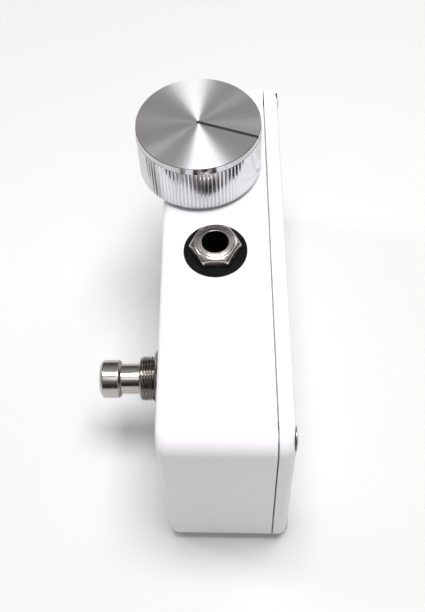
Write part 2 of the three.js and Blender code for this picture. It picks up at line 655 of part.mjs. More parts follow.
const threadClearance = SWITCH_THREAD_RADIUS + 0.15;
const WASHER_TOP = 1;
const switchOuterWasher = () => ring(threadClearance, 7.9, CONTACT, WASHER_TOP, 2 * ROUND);
const switchOuterNut = () => hexNut(SWITCH_NUT_FLATS, threadClearance, WASHER_TOP + CONTACT, SWITCH_STACK);
const INNER_SEAT = -FACE_WALL - CONTACT;
const switchLockWasher = () => ring(threadClearance, 8.2, INNER_SEAT - 0.5, INNER_SEAT);
const switchInnerNut = () =>
  hexNut(SWITCH_NUT_FLATS, threadClearance, FRAME_TOP + CONTACT, INNER_SEAT - 0.5 - CONTACT);

addPart(switchGroup, 'switch_bushing', switchBushing(), NICKEL);
addPart(switchGroup, 'switch_outer_washer', switchOuterWasher(), NICKEL);
addPart(switchGroup, 'switch_outer_nut', switchOuterNut(), NICKEL);
addPart(switchGroup, 'switch_lock_washer', switchLockWasher(), DARK_STEEL);
addPart(switchGroup, 'switch_inner_nut', switchInnerNut(), NICKEL);
addPart(switchGroup, 'switch_frame', switchFrame(), NICKEL);
addPart(switchGroup, 'switch_housing', switchHousing(), BLACK_PLASTIC);
addPart(switchGroup, 'switch_plunger', switchPlunger(), NICKEL);
addPart(switchGroup, 'switch_bridge', switchBridge(), BRASS);
addPart(switchGroup, 'switch_spring', switchSpring(), DARK_STEEL);
addPart(switchGroup, 'switch_terminal_1', switchTerminal(1), BRASS);
addPart(switchGroup, 'switch_terminal_2', switchTerminal(-1), BRASS);

// ---------------------------------------------------------------- wires
// Each joins two solder lugs and stops just short of both. The lugs' places come first.
const lugGap = 0.3;
const JACK_LUG_HEIGHT = CASE_WIDTH + LUG_END - lugGap;
const POT_LUG_HEIGHT = CASE_WIDTH + WAFER_TOP + 0.25;
const POT_LUG_Y = KNOB_Y - 14 - lugGap;
const SWITCH_LUG_X = CLOSED_FACE - SWITCH_LUG_END - 1.1;
const SWITCH_LUG_Y = SWITCH_Y + 1.4 + lugGap;
const lugMiddle = (LUG_INNER + LUG_OUTER) / 2;
const PAIR = 0.85; // two wires share a lug side by side

const potLug = (place) => [KNOB_X + place * POT_TERMINAL_PITCH, POT_LUG_Y, POT_LUG_HEIGHT];
const tipLug = (side) => [JACK_X + side * PAIR, JACK_Y - STRIP_RUN, JACK_LUG_HEIGHT];
const ringLug = [JACK_X, JACK_Y + STRIP_RUN, JACK_LUG_HEIGHT];
const sleeveLug = (side) => [JACK_X + STRIP_RUN, JACK_Y + side * PAIR, JACK_LUG_HEIGHT];
const switchLug = (side) => [SWITCH_LUG_X, SWITCH_LUG_Y, HALF_WIDTH + side * lugMiddle];

const wires = {
  wire_pot_ring: {
    look: finish(0xb02020, 0.5, 0),
    route: [potLug(-1), [-10.8, 7.2, 52], [-9, 6, 36], [-4.2, 4.2, 25], [-2, 1.6, 23.8], ringLug],
  },
  wire_pot_tip: {
    look: finish(0xe8e4dc, 0.5, 0),
    route: [
      potLug(0), [-5.9, 8.4, 52], [-5.9, 8.8, 34], [-5, 4, 20], [-2, -6, 19.4], [-1.2, -8.4, 24], tipLug(1),
    ],
  },
  wire_pot_sleeve: {
    look: finish(0x202024, 0.5, 0),
    route: [potLug(1), [-0.8, 7.6, 53], [2, 7.4, 36], [3.6, 3.4, 23.6], [2.9, -1.6, 23.4], sleeveLug(1)],
  },
  wire_switch_tip: {
    look: finish(0xe8e4dc, 0.5, 0),
    route: [
      tipLug(-1), [-2.8, -9.2, 24.6], [1, -11.5, 22.4], [6, -12.6, 23], [8.4, -15.5, 24.2], switchLug(-1),
    ],
  },
  wire_switch_sleeve: {
    look: finish(0x202024, 0.5, 0),
    route: [
      sleeveLug(-1), [3.2, -5.8, 24.8], [6.8, -8.5, 24.4], [9, -12, 28], [8.6, -15.5, 34], switchLug(1),
    ],
  },
};

const wireGroup = groupAt(0, 0, 0);
Object.entries(wires).forEach(([name, { look, route }]) => {
  addPart(wireGroup, name, tube(route, WIRE_RADIUS), look);
});

export default assembly;
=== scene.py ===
"""The looks of a white foot-controller box with a fluted knob, a jack and a footswitch.

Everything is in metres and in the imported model's own frame: +X to the lid, +Y along the box and
+Z along the axes of the knob and the jack. Lengths inside the builders are millimetres.
"""

import json
import math

import bmesh
import bpy
from mathutils import Matrix, Vector


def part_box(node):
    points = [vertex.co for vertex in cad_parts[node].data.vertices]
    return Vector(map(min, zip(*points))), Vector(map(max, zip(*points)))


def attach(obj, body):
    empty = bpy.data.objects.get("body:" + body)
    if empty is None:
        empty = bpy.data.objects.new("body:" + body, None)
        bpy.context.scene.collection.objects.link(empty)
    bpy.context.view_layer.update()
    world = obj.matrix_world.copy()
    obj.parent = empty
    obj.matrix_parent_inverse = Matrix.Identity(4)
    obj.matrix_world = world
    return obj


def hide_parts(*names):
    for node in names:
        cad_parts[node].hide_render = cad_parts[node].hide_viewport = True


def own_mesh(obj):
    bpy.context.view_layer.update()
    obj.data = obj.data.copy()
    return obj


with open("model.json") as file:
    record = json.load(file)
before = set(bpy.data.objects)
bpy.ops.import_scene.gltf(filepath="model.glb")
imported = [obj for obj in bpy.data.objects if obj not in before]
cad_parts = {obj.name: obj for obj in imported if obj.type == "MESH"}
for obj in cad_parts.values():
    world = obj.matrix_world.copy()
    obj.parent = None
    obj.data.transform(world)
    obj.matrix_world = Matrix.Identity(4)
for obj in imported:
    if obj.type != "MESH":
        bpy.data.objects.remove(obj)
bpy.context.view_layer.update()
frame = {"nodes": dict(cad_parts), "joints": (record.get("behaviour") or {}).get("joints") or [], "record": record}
nodes = frame["nodes"]
MM = 0.001
TAU = 2 * math.pi


# ---------------------------------------------------------------- places from the frame
def millimetres(vector):
    return Vector(vector) / MM


def middle(node):
    low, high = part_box(node)
    return millimetres((low + high) / 2)


BODY_LOW, BODY_HIGH = (millimetres(corner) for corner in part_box("enclosure_body"))
CLOSED_FACE = BODY_LOW.x
SEAM = BODY_HIGH.x
LID_FACE = millimetres(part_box("enclosure_lid")[1]).x
HALF_LENGTH = BODY_HIGH.y
CASE_WIDTH = BODY_HIGH.z
HALF_WIDTH = CASE_WIDTH / 2
KNOB_AXIS = millimetres(frame["joints"][0]["pos_m"])
JACK_AXIS = middle("jack_washer")
SWITCH_AXIS = middle("switch_outer_washer")
SCREWS = [middle(f"lid_screw_{i}") for i in (1, 2, 3, 4)]

KNOB_PLACE = Matrix.Translation((KNOB_AXIS.x, KNOB_AXIS.y, CASE_WIDTH))
JACK_PLACE = Matrix.Translation((JACK_AXIS.x, JACK_AXIS.y, CASE_WIDTH))
SWITCH_SEAT = Matrix.Translation((CLOSED_FACE, SWITCH_AXIS.y, SWITCH_AXIS.z))
SWITCH_PLACE = SWITCH_SEAT @ Matrix.Rotation(-TAU / 4, 4, "Y")
LID_PLACE = Matrix.Rotation(TAU / 4, 4, "Y")

# ---------------------------------------------------------------- dimensions, millimetres
# Radii and heights are about each part's own axis, with height 0 on the face it is mounted on.
CORNER_RADIUS = 6.0
LEAST_CORNER_RADIUS = 0.8
ARC_STEPS = 14  # of a corner of the box's outline
STRAIGHT_STEPS = 6  # of a side of it
FACE_EDGE = 2.5
LID_EDGE = 2.5
SEAM_GAP = 0.3
RIM_EDGE = 0.25
INNER_EDGE = 1.0
SIDE_WALL = 2.2
FACE_WALL = 1.8
LID_PLATE = 2.0
TONGUE_CLEARANCE = 0.3
TONGUE_WIDTH = 1.2
TONGUE_REACH = 1.2
TONGUE_BEVEL = 0.2
POCKET_BEVEL = 0.4
BOSS_RADIUS = 3.2
BOSS_ROOT = 0.5  # how deep in the wall a boss starts
BOSS_CLEARANCE = 0.3  # around a boss, in the lid's tongue
PAD_MARGIN = 0.4  # of the lid's screw pads beyond the bosses
PAD_ROOT = 0.3  # how deep in the lid's plate a pad starts
INSIDE_LID = 5.0  # a depth within the body, where cuts from the lid's side start
END_DRAFT = math.radians(1.5)
KNOB_HOLE = 3.75
JACK_HOLE = 4.75
SWITCH_HOLE = 6.15
CUT_BEYOND = 1.0  # how far a cutting tool passes the surface it leaves by
SEAT_GAP = 0.05  # between parts that touch, so that no faces coincide

SCREW_RADIUS = 1.45
SCREW_HEAD = 3.1
SCREW_HEAD_HEIGHT = 1.7
SCREW_DOME = 0.5
SCREW_LENGTH = 13.0
SCREW_THREAD_DEPTH = 0.22
SCREW_PITCH = 0.7
SCREW_SEGMENTS = 32
CROSS_HALF_LENGTH = 1.65
CROSS_HALF_WIDTH = 0.36
CROSS_DEPTH = 1.5
TAPPED_CLEARANCE = 0.25
TAPPED_DEPTH = 14.0

KNOB_RADIUS = 15.9
KNOB_TOP = 15.9
KNOB_BASE = 1.0
KNOB_RIM = 15.75  # the plain band above the flutes
KNOB_BAND = 2.0
KNOB_CHAMFER = 0.12
FLUTES = 100
FLUTE_DEPTH = 0.4
SAMPLES_PER_FLUTE = 8
KNOB_RECESS = (8.0, 7.0)  # radius and top
KNOB_BORE = (3.1, 13.0)
KNOB_FOOT = 0.35
POINTER_ANGLE = math.radians(-20.5)
POINTER_WIDTH = 0.8
POINTER_GROOVE = 0.32
SET_SCREW_HEIGHT = 10.5
SET_SCREW_HOLE = 1.9
POINTER_PLACE = KNOB_PLACE @ Matrix.Rotation(POINTER_ANGLE, 4, "Z")

HEX_CONE = math.radians(33)
JACK_BORE = 3.25
JACK_THREAD = 4.5
JACK_THREAD_DEPTH = 0.3
JACK_RIM = 4.0
JACK_MOUTH = (3.3, -3.35)  # radius and height of the bore's inner end
JACK_FLANGE = 7.6
SWITCH_THREAD = 5.85
SWITCH_THREAD_DEPTH = 0.42
SWITCH_BORE = 4.12
SWITCH_BUSHING_TOP = 7.0
SWITCH_BUSHING_FOOT = -5.9
SWITCH_FLANGE = (6.75, -5.35)  # radius and top
BUSHING_PITCH = 0.75

SQUARE = ((-1, -1), (1, -1), (1, 1), (-1, 1))


# ---------------------------------------------------------------- mesh making
def circle(radius, height, segments):
    """A ring of points; radius and height are numbers or functions of the angle."""
    ring = []
    for i in range(segments):
        angle = TAU * i / segments
        r = radius(angle) if callable(radius) else radius
        z = height(angle) if callable(height) else height
        ring.append((r * math.cos(angle), r * math.sin(angle), z))
    return ring


def loft(rings, closed=False):
    """Points and faces of a skin over rings of equal length, capped at both ends unless closed."""
    count = len(rings[0])
    points = [point for ring in rings for point in ring]
    pairs = [(i, i + 1) for i in range(len(rings) - 1)]
    if closed:
        pairs.append((len(rings) - 1, 0))
    faces = []
    for low, high in pairs:
        for i in range(count):
            j = (i + 1) % count
            faces.append((low * count + i, low * count + j, high * count + j, high * count + i))
    if not closed:
        last = (len(rings) - 1) * count
        faces.append(tuple(reversed(range(count))))
        faces.append(tuple(range(last, last + count)))
    return points, faces


def softened(profile, radius, steps=3, closed=False):
    """The profile with every corner rounded, so that edges catch the light as real ones do."""
    count = len(profile)
    result = []
    for i, corner in enumerate(profile):
        if not closed and i in (0, count - 1):
            result.append(corner)
            continue
        here = Vector(corner)
        to_before = Vector(profile[i - 1]) - here
        to_after = Vector(profile[(i + 1) % count]) - here
        reach = min(radius, to_before.length * 0.45, to_after.length * 0.45)
        start = here + to_before.normalized() * reach
        end = here + to_after.normalized() * reach
        for k in range(steps + 1):
            t = k / steps
            point = start * (1 - t) ** 2 + here * 2 * t * (1 - t) + end * t * t
            result.append((point.x, point.y))
    return result


def turned(profile, segments, closed=False):
    """A turned body from (radius, height) points."""
    return loft([circle(r, z, segments) for r, z in profile], closed)


def new_object(name, points, faces, place=Matrix.Identity(4)):
    mesh = bpy.data.meshes.new(name)
    mesh.from_pydata([place @ Vector(point) * MM for point in points], [], faces)
    obj = bpy.data.objects.new(name, mesh)
    bpy.context.scene.collection.objects.link(obj)
    tidy = bmesh.new()
    tidy.from_mesh(mesh)
    bmesh.ops.remove_doubles(tidy, verts=tidy.verts, dist=1e-7)
    bmesh.ops.recalc_face_normals(tidy, faces=tidy.faces)
    tidy.to_mesh(mesh)
    tidy.free()
    return obj


def apply_modifiers(obj):
    """Gives obj the mesh that its modifiers make, and drops the modifiers."""
    graph = bpy.context.evaluated_depsgraph_get()
    mesh = bpy.data.meshes.new_from_object(obj.evaluated_get(graph))
    obj.modifiers.clear()
    obj.data = mesh


def combine(obj, operation, tools):
    """Joins tools to obj (UNION) or cuts them from it (DIFFERENCE), then removes them."""
    for tool in tools:
        modifier = obj.modifiers.new("combine", "BOOLEAN")
        modifier.operation = operation
        modifier.solver = "EXACT"
        modifier.object = tool
        apply_modifiers(obj)
        bpy.data.objects.remove(tool)


def smooth(obj, angle):
    """Smooth shading with sharp edges above angle, and normals weighted so that flats stay flat."""
    for polygon in obj.data.polygons:
        polygon.use_smooth = True
    obj.data.set_sharp_from_angle(angle=math.radians(angle))
    weighted = obj.modifiers.new("weighted normals", "WEIGHTED_NORMAL")
    weighted.keep_sharp = True


def dressed(obj, *materials):
    """Gives obj its materials, in the order that its faces number them."""
    for material in materials:
        obj.data.materials.append(material)
    return obj


def finished(obj, body, stands_for, angle=32):
    """Shades obj and says what it rides on and which CAD nodes it replaces."""
    smooth(obj, angle)
    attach(obj, body)
    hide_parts(*stands_for)


# ---------------------------------------------------------------- materials
# Sockets of the Mix node that share their names with others, by number.
MIX_COLOUR_A, MIX_COLOUR_B, MIX_COLOUR_OUT = 6, 7, 2
MIX_NUMBER_A, MIX_NUMBER_B, MIX_NUMBER_OUT = 2, 3, 0


def set_range(spread, start, end, low, high):
    """Makes a Map Range node take start to end onto low to high."""
    for key, number in (("From Min", start), ("From Max", end), ("To Min", low), ("To Max", high)):
        spread.inputs[key].default_value = number


class Look:
    """A node material on the Principled shader, with short words for the nodes it needs.

    Noise scales are in cells per metre.
    """

    def __init__(self, name, metallic=0.0):
        self.material = bpy.data.materials.new(name)
        self.material.use_nodes = True
        self.tree = self.material.node_tree
        self.shader = self.tree.nodes["Principled BSDF"]
        self.shader.inputs["Metallic"].default_value = metallic
        self.coordinates = self.node("ShaderNodeTexCoord").outputs["Object"]
        self.height = None

    def node(self, kind, **settings):
        made = self.tree.nodes.new(kind)
        for key, value in settings.items():
            setattr(made, key, value)
        return made

    def link(self, source, target):
        self.tree.links.new(source, target)

    def noise(self, scale, detail=4.0, stretch=None):
        texture = self.node("ShaderNodeTexNoise")
        texture.inputs["Scale"].default_value = scale
        texture.inputs["Detail"].default_value = detail
        texture.inputs["Roughness"].default_value = 0.55
        source = self.coordinates
        if stretch:
            mapping = self.node("ShaderNodeMapping")
            mapping.inputs["Scale"].default_value = stretch
            self.link(source, mapping.inputs["Vector"])
            source = mapping.outputs["Vector"]
        self.link(source, texture.inputs["Vector"])
        return texture.outputs["Fac"]

    def ranged(self, value, low, high, start=0.3, end=0.7):
        """value, from start to end, spread over low to high."""
        spread = self.node("ShaderNodeMapRange")
        self.link(value, spread.inputs["Value"])
        set_range(spread, start, end, low, high)
        return spread.outputs["Result"]

    def blended(self, factor, first, second):
        """A colour between first and second, which are colours or other nodes' outputs."""
        mix = self.node("ShaderNodeMix", data_type="RGBA")
        self.link(factor, mix.inputs["Factor"])
        for socket, colour in ((mix.inputs[MIX_COLOUR_A], first), (mix.inputs[MIX_COLOUR_B], second)):
            if isinstance(colour, tuple):
                socket.default_value = (*colour, 1.0)
            else:
                self.link(colour, socket)
        return mix.outputs[MIX_COLOUR_OUT]

    def colour(self, value):
        self.link(value, self.shader.inputs["Base Color"])

    def rough(self, value):
        self.link(value, self.shader.inputs["Roughness"])

    def bump(self, value, strength, distance):
        """Adds a layer of relief, distance metres deep, on top of the layers before it."""
        relief = self.node("ShaderNodeBump")
        relief.inputs["Strength"].default_value = strength
        relief.inputs["Distance"].default_value = distance
        self.link(value, relief.inputs["Height"])
        if self.height is not None:
            self.link(self.height, relief.inputs["Normal"])
        self.height = relief.outputs["Normal"]
        self.link(self.height, self.shader.inputs["Normal"])


def shaded(colour, amount):
    return tuple(channel * amount for channel in colour)


def powder_coat(name, colour):
    """Baked powder paint: faint clouds and specks, and a fine orange-peel relief."""
    look = Look(name)
    cloud = look.ranged(look.noise(45), 0, 1)
    speck = look.ranged(look.noise(1400, 2), 0, 1, 0.68, 0.74)
    tone = look.blended(cloud, shaded(colour, 0.97), colour)
    look.colour(look.blended(speck, tone, shaded(colour, 0.86)))
    look.rough(look.ranged(look.noise(160), 0.34, 0.46))
    look.shader.inputs["Coat Weight"].default_value = 0.15
    look.shader.inputs["Coat Roughness"].default_value = 0.25
    look.bump(look.noise(1500, 2), 0.25, 0.00006)
    look.bump(look.noise(260, 2), 0.15, 0.0002)
    return look.material


def plated(name, colour, low=0.12, high=0.24, grain=None):
    """Plated metal with handling marks, as rough as low to high; grain draws out its fine lines."""
    look = Look(name, metallic=1.0)
    tarnish = look.ranged(look.noise(180), 0, 1)
    stain = look.ranged(look.noise(520, 3), 0, 0.5, 0.58, 0.7)
    tone = look.blended(tarnish, shaded(colour, 0.86), colour)
    look.colour(look.blended(stain, tone, shaded(colour, 0.62)))
    look.rough(look.ranged(look.noise(420), low, high))
    look.bump(look.noise(900, 3, grain), 0.12, 0.00003)
    look.bump(look.noise(3600, 2, grain), 0.08, 0.00002)
    return look.material


def fluted(name, colour):
    """Clean aluminium off the cutter, with a little dulling and fine marks along the flutes."""
    look = Look(name, metallic=1.0)
    dulling = look.ranged(look.noise(150), 0, 1)
    look.colour(look.blended(dulling, shaded(colour, 0.94), colour))
    look.rough(look.ranged(look.noise(300), 0.1, 0.17))
    look.bump(look.noise(1600, 2, (1, 1, 0.05)), 0.05, 0.00002)
    return look.material


def turned_face(name, colour, axis):
    """Aluminium faced on a lathe: fine rings about the axis spread the light across them."""
    look = Look(name, metallic=1.0)
    place = look.node("ShaderNodeMapping")
    place.inputs["Location"].default_value = (-axis.x * MM, -axis.y * MM, 0)
    look.link(look.coordinates, place.inputs["Vector"])
    rings = look.node("ShaderNodeTexWave", wave_type="RINGS", rings_direction="Z")
    rings.inputs["Scale"].default_value = 2100
    rings.inputs["Distortion"].default_value = 0.6
    look.link(place.outputs["Vector"], rings.inputs["Vector"])
    split = look.node("ShaderNodeSeparateXYZ")
    look.link(place.outputs["Vector"], split.inputs["Vector"])
    angle = look.node("ShaderNodeMath", operation="ARCTAN2")
    look.link(split.outputs["Y"], angle.inputs[0])
    look.link(split.outputs["X"], angle.inputs[1])
    streak = look.node("ShaderNodeTexNoise", noise_dimensions="1D")
    streak.inputs["Scale"].default_value = 26
    streak.inputs["Detail"].default_value = 6
    look.link(angle.outputs["Value"], streak.inputs["W"])
    tone = look.ranged(streak.outputs["Fac"], 0, 1)
    look.colour(look.blended(tone, shaded(colour, 0.9), colour))
    look.rough(look.ranged(rings.outputs["Fac"], 0.24, 0.32, 0, 1))
    look.shader.inputs["Anisotropic"].default_value = 0.92
    look.shader.inputs["Anisotropic Rotation"].default_value = 0.25
    tangent = look.node("ShaderNodeTangent", direction_type="RADIAL", axis="Z")
    look.link(tangent.outputs["Tangent"], look.shader.inputs["Tangent"])
    look.bump(rings.outputs["Fac"], 0.1, 0.00001)
    return look.material


def plastic(name, colour, low=0.4, high=0.6, dusty=0.03):
    """A moulded, painted or fibre surface, as rough as low to high, with paler specks of dust."""
    look = Look(name)
    cloud = look.ranged(look.noise(240), 0, 1)
    dust = look.ranged(look.noise(2600, 2), 0, 0.6, 0.62, 0.72)
    lighter = tuple(min(1.0, channel * 1.6 + 0.4 * dusty) for channel in colour)
    tone = look.blended(cloud, colour, lighter)
    look.colour(look.blended(dust, tone, tuple(channel + dusty for channel in lighter)))
    look.rough(look.ranged(look.noise(600), low, high))
    look.bump(look.noise(1800, 2), 0.2, 0.00003)
    return look.material


WHITE_COAT = powder_coat("white powder coat", (0.885, 0.868, 0.893))
NICKEL = plated("nickel plate", (0.60, 0.57, 0.54))
SWITCH_NICKEL = plated("footswitch nickel", (0.52, 0.485, 0.46), 0.12, 0.22, (0.08, 1, 1))
SWITCH_DARK = plated("dulled thread plating", (0.33, 0.305, 0.285), 0.12, 0.2)
SATIN_NICKEL = plated("satin nickel", (0.62, 0.575, 0.555), 0.2, 0.3)
SCREW_STEEL = plated("screw plating", (0.22, 0.21, 0.205), 0.12, 0.2)
# Dark spring steel; the jack's bore also takes this look, as painted shade inside the hole.
DARK_STEEL_AND_BORE_SHADE = plated("dark spring steel and bore shade", (0.12, 0.12, 0.13), 0.3, 0.45)
BRASS = plated("tinned brass", (0.72, 0.60, 0.36), 0.2, 0.34)
SKIRT = fluted("fluted aluminium", (0.66, 0.655, 0.675))
POLISHED = plated("polished band", (0.60, 0.595, 0.615), 0.1, 0.16)
KNOB_FACE = turned_face("turned aluminium face", (0.83, 0.81, 0.84), KNOB_AXIS)
POINTER_PAINT = plastic("black line paint", (0.008, 0.008, 0.008), 0.35, 0.5)
WASHER_BLACK = plastic("black fibre washer", (0.002, 0.002, 0.002), 0.6, 0.8, dusty=0.004)
WASHER_BLACK.node_tree.nodes["Principled BSDF"].inputs["Specular IOR Level"].default_value = 0.1
BLACK_NYLON = plastic("black nylon", (0.015, 0.015, 0.016))
PHENOLIC = plastic("brown phenolic", (0.30, 0.15, 0.07), 0.5, 0.7)
WIRE_RED = plastic("red wire", (0.5, 0.03, 0.02), 0.3, 0.42)
WIRE_WHITE = plastic("white wire", (0.75, 0.73, 0.68), 0.3, 0.42)
WIRE_BLACK = plastic("black wire", (0.014, 0.014, 0.015), 0.3, 0.42)


# ---------------------------------------------------------------- enclosure
def outline(inset, x):
    """The box's rounded outline, inset from its full size, as a ring of points at one depth."""
    half_y = HALF_LENGTH - inset
    half_z = HALF_WIDTH - inset
    radius = max(CORNER_RADIUS - inset, LEAST_CORNER_RADIUS)
    arcs = []
    for corner, (sign_y, sign_z) in enumerate(((1, 1), (-1, 1), (-1, -1), (1, -1))):
        centre_y = sign_y * (half_y - radius)
        centre_z = sign_z * (half_z - radius) + HALF_WIDTH
        arcs.append([])
        for i in range(ARC_STEPS + 1):
            angle = corner * TAU / 4 + TAU / 4 * i / ARC_STEPS
            arcs[-1].append((x, centre_y + radius * math.cos(angle), centre_z + radius * math.sin(angle)))
    ring = []
    for arc, following in zip(arcs, arcs[1:] + arcs[:1]):
        ring += arc
        for i in range(1, STRAIGHT_STEPS):
            t = i / STRAIGHT_STEPS
            ring.append(tuple(a + (b - a) * t for a, b in zip(arc[-1], following[0])))
    return ring


def edge_rings(flat_x, edge, direction, steps=8):
    """Rings of a rounded edge from the flat face at flat_x out to the side wall."""
    rings = []
    for i in range(steps + 1):
        angle = TAU / 4 * i / steps
        inwards = edge * (1 - math.sin(angle))
        rings.append(outline(inwards, flat_x + direction * edge * (1 - math.cos(angle))))
    return rings


def rod(radius, start, end, place):
    """A plain round tool or boss along its local Z."""
    return new_object("tool", *turned([(radius, start), (radius, end)], 64), place)


def at_screws(make):
    """make(place) at each lid screw, where local Z runs along X."""
    return [make(Matrix.Translation((0, screw.y, screw.z)) @ LID_PLACE) for screw in SCREWS]


def drafted(point):
    """Draws the box's two ends together towards the closed face, as the casting's draft does."""
    x, y, z = point
    return x, y * (1 - (SEAM - x) * math.tan(END_DRAFT) / HALF_LENGTH), z


def enclosure_body():
    inner_face = CLOSED_FACE + FACE_WALL
    steps = 4
    rings = edge_rings(CLOSED_FACE, FACE_EDGE, 1)
    rings += reversed(edge_rings(SEAM, RIM_EDGE, -1, 3))
    rings += [outline(SIDE_WALL - RIM_EDGE / 2, SEAM), outline(SIDE_WALL, SEAM - RIM_EDGE / 2)]
    for i in range(steps + 1):
        angle = TAU / 4 * i / steps
        rings.append(outline(
            SIDE_WALL + INNER_EDGE * (1 - math.cos(angle)),
            inner_face + INNER_EDGE * (1 - math.sin(angle)),
        ))
    rings = [[drafted(point) for point in ring] for ring in rings]
    body = new_object("enclosure_shell", *loft(rings))
    bosses = at_screws(lambda place: rod(BOSS_RADIUS, inner_face - BOSS_ROOT, SEAM, place))
    combine(body, "UNION", bosses)
    tapped = (SCREW_RADIUS + TAPPED_CLEARANCE, SEAM - TAPPED_DEPTH, SEAM + CUT_BEYOND)
    combine(body, "DIFFERENCE", at_screws(lambda place: rod(*tapped, place)))
    combine(body, "DIFFERENCE", [
        rod(KNOB_HOLE, -SIDE_WALL - 2 * CUT_BEYOND, CUT_BEYOND, KNOB_PLACE),
        rod(JACK_HOLE, -SIDE_WALL - 2 * CUT_BEYOND, CUT_BEYOND, JACK_PLACE),
        rod(SWITCH_HOLE, -FACE_WALL - 2 * CUT_BEYOND, CUT_BEYOND, SWITCH_PLACE),
    ])
    finished(dressed(body, WHITE_COAT), "box", ["enclosure_body"])


def countersink(place):
    """The tool for a screw's hole through the lid, with a little room around shank and head."""
    shank = SCREW_RADIUS + 0.35
    return new_object("tool", *turned([
        (shank, INSIDE_LID), (shank, LID_FACE - SCREW_HEAD_HEIGHT - 0.32),
        (SCREW_HEAD + 0.18, LID_FACE - 0.12), (SCREW_HEAD + 0.32, LID_FACE + 0.32),
    ], 64), place)


def enclosure_lid():
    rim = SEAM + SEAM_GAP
    tongue = SIDE_WALL + TONGUE_CLEARANCE
    tongue_end = SEAM - TONGUE_REACH
    pocket = tongue + TONGUE_WIDTH
    pocket_floor = LID_FACE - LID_PLATE
    rings = edge_rings(LID_FACE, LID_EDGE, -1)
    rings += reversed(edge_rings(rim, RIM_EDGE, 1, 3))
    rings += [
        outline(tongue, rim),
        outline(tongue, tongue_end + TONGUE_BEVEL),
        outline(tongue + TONGUE_BEVEL, tongue_end),
        outline(pocket - TONGUE_BEVEL, tongue_end),
        outline(pocket, tongue_end + TONGUE_BEVEL),
        outline(pocket, pocket_floor - POCKET_BEVEL),
        outline(pocket + POCKET_BEVEL, pocket_floor),
    ]
    lid = new_object("lid_shell", *loft(rings))
    # The tongue makes room for each boss, and a pad in the lid meets the boss's end.
    room = (BOSS_RADIUS + BOSS_CLEARANCE, INSIDE_LID, rim - 0.01)
    combine(lid, "DIFFERENCE", at_screws(lambda place: rod(*room, place)))
    pad = (BOSS_RADIUS + PAD_MARGIN, rim, pocket_floor + PAD_ROOT)
    combine(lid, "UNION", at_screws(lambda place: rod(*pad, place)))
    combine(lid, "DIFFERENCE", at_screws(countersink))
    finished(dressed(lid, WHITE_COAT), "box", ["enclosure_lid"])


# ---------------------------------------------------------------- threads and nuts
def thread_rings(radius, depth, pitch, start, end, segments, rows=7):
    """Rings of a single-start right-hand thread, rows to a turn, with a lead-in at its end."""
    count = round((end - start) / pitch * rows)
    lead_length = 1.2 * depth
    rings = []
    for i in range(count + 1):
        z = start + (end - start) * i / count
        lead_in = max(0.0, 1 - (end - z) / lead_length) * depth

        def thread_radius(angle, z=z, lead_in=lead_in):
            crest = 0.5 + 0.5 * math.cos(TAU * (z / pitch - angle / TAU))
            return min(radius - depth * (1 - crest) ** 0.8, radius - lead_in)

        rings.append(circle(thread_radius, z, segments))
    return rings


def hex_nut(flats, bore, low, high, flat_top):
    """A hexagon nut whose corners are turned off by a cone, outside the radius flat_top."""
    half = flats / 2
    slope = math.tan(HEX_CONE)
    edge = 0.12
    bore_edge = 0.08
    segments = 144

    def reach(angle):
        from_flat = (angle % (TAU / 6)) - TAU / 12
        return half / math.cos(from_flat)

    def upper(angle):
        return high - max(0.0, reach(angle) - flat_top) * slope

    def lower(angle):
        return low + max(0.0, reach(angle) - half) * slope

    inner = [
        circle(bore + bore_edge, low, segments), circle(bore, low + bore_edge, segments),
        circle(bore, high - bore_edge, segments), circle(bore + bore_edge, high, segments),
    ]
    outer = [
        circle(flat_top - edge, high, segments),
        circle(flat_top + edge, high - edge * slope, segments),
        circle(lambda a: reach(a) - edge, lambda a: upper(a) + edge * slope, segments),
        circle(reach, lambda a: upper(a) - edge, segments),
        circle(reach, lambda a: lower(a) + edge, segments),
        circle(lambda a: reach(a) - edge, lower, segments),
        circle(half - 0.2, low, segments),
    ]
    return loft(inner + outer, closed=True)


# ---------------------------------------------------------------- lid screws
def lid_screw(name, place):
    """A countersunk machine screw with a raised head and a cross recess."""
    edge = LID_FACE - SEAT_GAP
    top = edge + SCREW_DOME
    neck = edge - SCREW_HEAD_HEIGHT
    end = edge - SCREW_LENGTH
    tip = 0.9
    rings = [circle(tip, end, SCREW_SEGMENTS)]
    rings += thread_rings(
        SCREW_RADIUS, SCREW_THREAD_DEPTH, SCREW_PITCH, end + 0.3, neck - 0.4, SCREW_SEGMENTS, rows=6,
    )
    head = softened([
        (SCREW_RADIUS - SCREW_THREAD_DEPTH, neck - 0.2), (SCREW_RADIUS, neck),
        (SCREW_HEAD, edge - 0.2), (SCREW_HEAD, edge),
    ], 0.1)
    for share in (0.92, 0.8, 0.65, 0.5, 0.35, 0.2, 0.02):
        head.append((SCREW_HEAD * share, edge + SCREW_DOME * (1 - share * share)))
    rings += [circle(r, z, SCREW_SEGMENTS) for r, z in head]
    screw = new_object(name, *loft(rings), place)
    length, width = CROSS_HALF_LENGTH, CROSS_HALF_WIDTH
    wedge = [
        [(length * a, width * b, top + 0.1) for a, b in SQUARE],
        [(length * 0.35 * a, width * 0.75 * b, top - CROSS_DEPTH) for a, b in SQUARE],
    ]
    combine(screw, "DIFFERENCE", [
        new_object("tool", *loft(wedge), place @ Matrix.Rotation(turn, 4, "Z")) for turn in (0, TAU / 4)
    ])
    return screw


def lid_screws():
    for number, screw in enumerate(SCREWS, 1):
        twist = Matrix.Rotation(math.radians(17 + 71 * number), 4, "Z")
        place = Matrix.Translation((0, screw.y, screw.z)) @ LID_PLACE @ twist
        made = lid_screw(f"lid_screw_{number}_fine", place)
        finished(dressed(made, SCREW_STEEL), "box", [f"lid_screw_{number}"])


